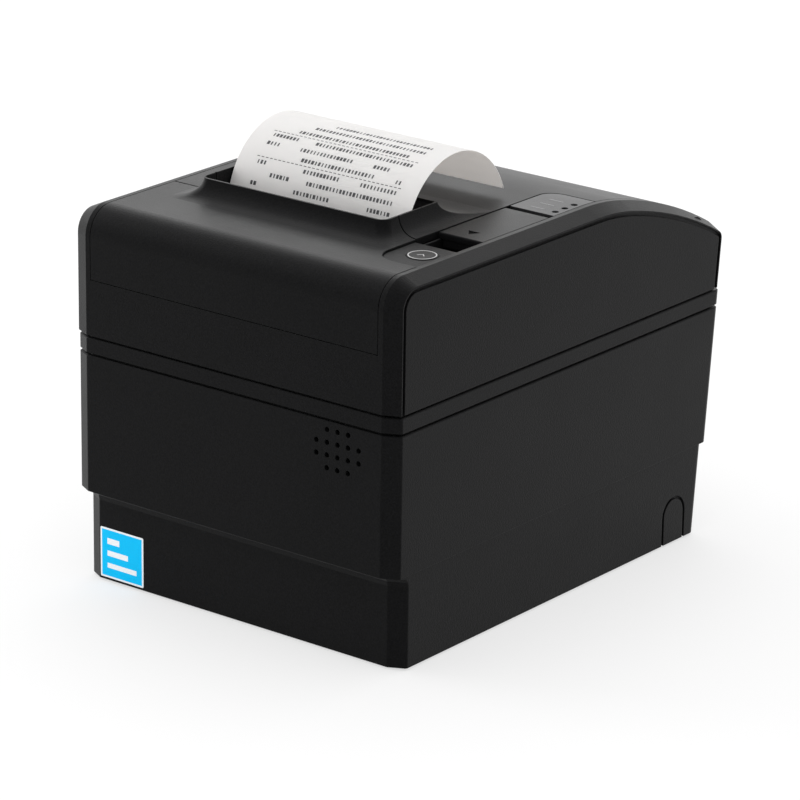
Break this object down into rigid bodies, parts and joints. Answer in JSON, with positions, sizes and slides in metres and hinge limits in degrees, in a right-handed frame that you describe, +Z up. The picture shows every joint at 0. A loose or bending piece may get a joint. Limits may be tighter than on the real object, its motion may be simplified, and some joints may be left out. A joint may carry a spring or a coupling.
{
  "type": "receipt printer",
  "caption": "Box-shaped desktop thermal receipt printer: hinged paper lid, raised paper exit with a curled slip, feed button, cover lever and status lights.",
  "frame": {"origin": "on the table below the middle of the casing", "axes": "+Z up, -Y out of the front panel, +X to the right seen from the front"},
  "size_m": [0.145, 0.195, 0.1626],
  "materials": {
    "case_plastic": "fine spark-eroded grain, matte black",
    "window_plastic": "smooth dark grey",
    "clear_plastic": "clear, unlit",
    "inner_plastic": "natural acetal",
    "socket_plastic": "moulded black",
    "steel": "zinc plated",
    "head_metal": "extruded",
    "heater": "glazed",
    "roller_rubber": "ground",
    "foot_rubber": "matte",
    "paper": "coated thermal paper",
    "card": "plain",
    "board": "green solder mask"
  },
  "bodies": {
    "casing": {"base_tray": "case_plastic", "lower_case": "case_plastic", "upper_case": "case_plastic", "front_cover": "case_plastic", "hinge_pins": "steel", "control_deck": "case_plastic", "led_window": "window_plastic", "light_pipes": "clear_plastic", "control_board": "board", "lever_pin": "steel", "hook_pin": "steel", "print_frame": "steel", "idler_stud": "steel", "feed_motor": "steel", "head_pin": "steel", "cutter_bed": "steel", "cutter_motor": "steel", "paper_bin": "case_plastic", "paper_web": "paper", "main_board": "board", "interface_plate": "steel", "power_socket": "socket_plastic", "drawer_socket": "socket_plastic", "usb_socket": "socket_plastic", "network_socket": "socket_plastic", "sounder": "socket_plastic", "rubber_feet": "foot_rubber", "case_screws": "steel"},
    "lid": {"paper_lid": "case_plastic", "platen_bushes": "inner_plastic", "fixed_blade": "steel", "receipt_slip": "paper"},
    "platen": {"platen_roller": "roller_rubber", "platen_shaft": "steel", "platen_gear": "inner_plastic"},
    "idler": {"idler_gear": "inner_plastic"},
    "pinion": {"motor_pinion": "inner_plastic"},
    "roll": {"paper_roll": "paper", "roll_core": "card"},
    "head": {"print_head": "head_metal", "heater_strip": "heater"},
    "cutter": {"cutter_blade": "steel"},
    "cutter_drive": {"cutter_pinion": "inner_plastic"},
    "button": {"feed_button": "case_plastic"},
    "lever": {"release_lever": "case_plastic"},
    "hook": {"latch_hook": "inner_plastic"}
  },
  "joints": [
    {"name": "lid_hinge", "type": "hinge", "parent": "casing", "child": "lid", "pos_m": [0, 0.0805, 0.11825], "axis": [-1, 0, 0], "range_deg": [0, 75]},
    {"name": "platen_spin", "type": "hinge", "parent": "lid", "child": "platen", "pos_m": [0, -0.03825, 0.121], "axis": [1, 0, 0], "continuous": true},
    {"name": "idler_spin", "type": "hinge", "parent": "casing", "child": "idler", "pos_m": [0, -0.04457, 0.10034], "axis": [1, 0, 0], "continuous": true},
    {"name": "pinion_spin", "type": "hinge", "parent": "casing", "child": "pinion", "pos_m": [0, -0.05245, 0.08551], "axis": [1, 0, 0], "continuous": true},
    {"name": "roll_spin", "type": "hinge", "parent": "casing", "child": "roll", "pos_m": [0, 0.0275, 0.077], "axis": [1, 0, 0], "continuous": true},
    {"name": "head_pivot", "type": "hinge", "parent": "casing", "child": "head", "pos_m": [0, -0.0515, 0.107], "axis": [1, 0, 0], "range_deg": [0, 2], "stiffness_Nm_per_rad": 2, "springref_deg": -4.58},
    {"name": "cutter_slide", "type": "slide", "parent": "casing", "child": "cutter", "axis": [0, 1, 0], "range_m": [0, 0.007]},
    {"name": "cutter_turn", "type": "hinge", "parent": "casing", "child": "cutter_drive", "pos_m": [0.02, -0.0695, 0.134], "axis": [0, 0, 1], "range_deg": [0, 72]},
    {"name": "button_press", "type": "slide", "parent": "casing", "child": "button", "axis": [0, 0, -1], "range_m": [0, 0.0012], "stiffness_N_per_m": 800, "springref_m": -0.0006},
    {"name": "lever_lift", "type": "hinge", "parent": "casing", "child": "lever", "pos_m": [0.0546, -0.0055, 0.1335], "axis": [-1, 0, 0], "range_deg": [0, 14], "stiffness_Nm_per_rad": 0.15, "springref_deg": -11.46},
    {"name": "hook_turn", "type": "hinge", "parent": "casing", "child": "hook", "pos_m": [0.0437, -0.0175, 0.124], "axis": [-1, 0, 0], "range_deg": [0, 29]}
  ],
  "couplings": [
    {"joint": "platen_spin", "follows": "roll_spin", "ratio": 3.625},
    {"joint": "idler_spin", "follows": "roll_spin", "ratio": -2.9},
    {"joint": "pinion_spin", "follows": "roll_spin", "ratio": 7.25},
    {"joint": "cutter_turn", "follows": "cutter_slide", "rad_per_m": 178.57},
    {"joint": "hook_turn", "follows": "lever_lift", "ratio": 2}
  ]
}
